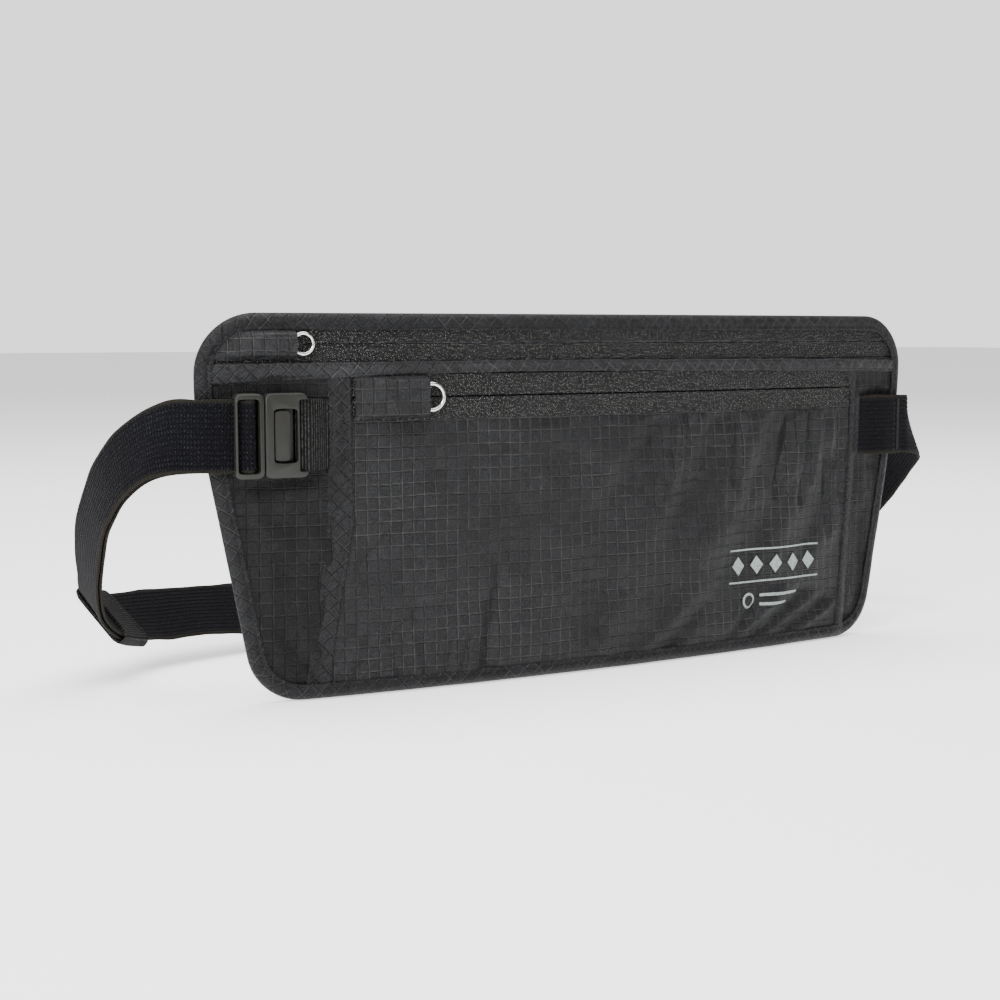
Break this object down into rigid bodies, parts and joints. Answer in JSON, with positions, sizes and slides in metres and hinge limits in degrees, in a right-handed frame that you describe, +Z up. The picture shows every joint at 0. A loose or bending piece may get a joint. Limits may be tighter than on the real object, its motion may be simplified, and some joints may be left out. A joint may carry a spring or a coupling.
{
  "type": "waist pouch",
  "caption": "Flat curved waist pouch with zipped pockets, ring-pull sliders, bound edge, elastic waist strap, sewn strap keeper and a centre-press side buckle.",
  "frame": {"origin": "middle of the pouch's lower edge, on the plane it stands on", "axes": "+X along the pouch to the right as seen from the front, -Y out of the zipped front, +Z up"},
  "size_m": [0.3691, 0.141, 0.133],
  "materials": {
    "ripstop": "satin",
    "lining": "satin",
    "shield": "satin",
    "binding": "matte",
    "zip_tape": "matte",
    "zip_coil": "satin",
    "slider_metal": "satin",
    "ring_metal": "polished",
    "buckle_plastic": "matte",
    "webbing": "matte",
    "elastic": "matte",
    "thread": "matte"
  },
  "bodies": {
    "root": {"back_panel": "lining", "shield_liner": "shield", "pocket_divider": "lining", "front_base_panel": "ripstop", "front_pocket_panel": "ripstop", "edge_binding": "binding", "middle_strip": "binding", "pocket_tape_left": "binding", "pocket_tape_right": "binding", "upper_zip_tape_top": "zip_tape", "upper_zip_tape_bottom": "zip_tape", "upper_coil_top": "zip_coil", "upper_coil_bottom": "zip_coil", "upper_zip_stop": "thread", "upper_garage": "ripstop", "lower_zip_tape_top": "zip_tape", "lower_zip_tape_bottom": "zip_tape", "lower_coil_top": "zip_coil", "lower_coil_bottom": "zip_coil", "lower_zip_stop": "thread", "lower_garage": "ripstop", "buckle_female": "buckle_plastic", "webbing_tab_left": "webbing", "strap_tab_right": "elastic", "strap_rear_run": "elastic", "strap_keeper": "elastic", "bar_tacks": "thread"},
    "male": {"buckle_male": "buckle_plastic", "strap_bar_wrap": "elastic", "strap_outer_layer": "elastic", "strap_inner_layer": "elastic"},
    "latch": {"buckle_latch": "buckle_plastic"},
    "upper_slider": {"upper_slider": "slider_metal"},
    "upper_ring": {"upper_pull_ring": "ring_metal"},
    "lower_slider": {"lower_slider": "slider_metal"},
    "lower_ring": {"lower_pull_ring": "ring_metal"}
  },
  "joints": [
    {"name": "buckle_release", "type": "slide", "parent": "root", "child": "male", "axis": [-0.9929, 0.1188, 0], "range_m": [0, 0.014], "deforming": ["strap_outer_layer", "strap_inner_layer"]},
    {"name": "latch_press", "type": "hinge", "parent": "male", "child": "latch", "pos_m": [-0.13495, 0.00169, 0.092], "axis": [0, 0, 1], "range_deg": [0, 9], "stiffness_Nm_per_rad": 0.03},
    {"name": "upper_slider_travel", "type": "hinge", "parent": "root", "child": "upper_slider", "pos_m": [0, 1.13, 0.1226], "axis": [0, 0, 1], "range_deg": [0, 13.03]},
    {"name": "upper_ring_swing", "type": "hinge", "parent": "upper_slider", "child": "upper_ring", "pos_m": [-0.12261, 0.00471, 0.1226], "axis": [0, 0, -1], "range_deg": [0, 110], "deforming": ["upper_garage"]},
    {"name": "lower_slider_travel", "type": "hinge", "parent": "root", "child": "lower_slider", "pos_m": [0, 1.13, 0.104], "axis": [0, 0, 1], "range_deg": [0, 9.6]},
    {"name": "lower_ring_swing", "type": "hinge", "parent": "lower_slider", "child": "lower_ring", "pos_m": [-0.07809, -0.00146, 0.104], "axis": [0, 0, -1], "range_deg": [0, 110], "deforming": ["lower_garage"]}
  ]
}
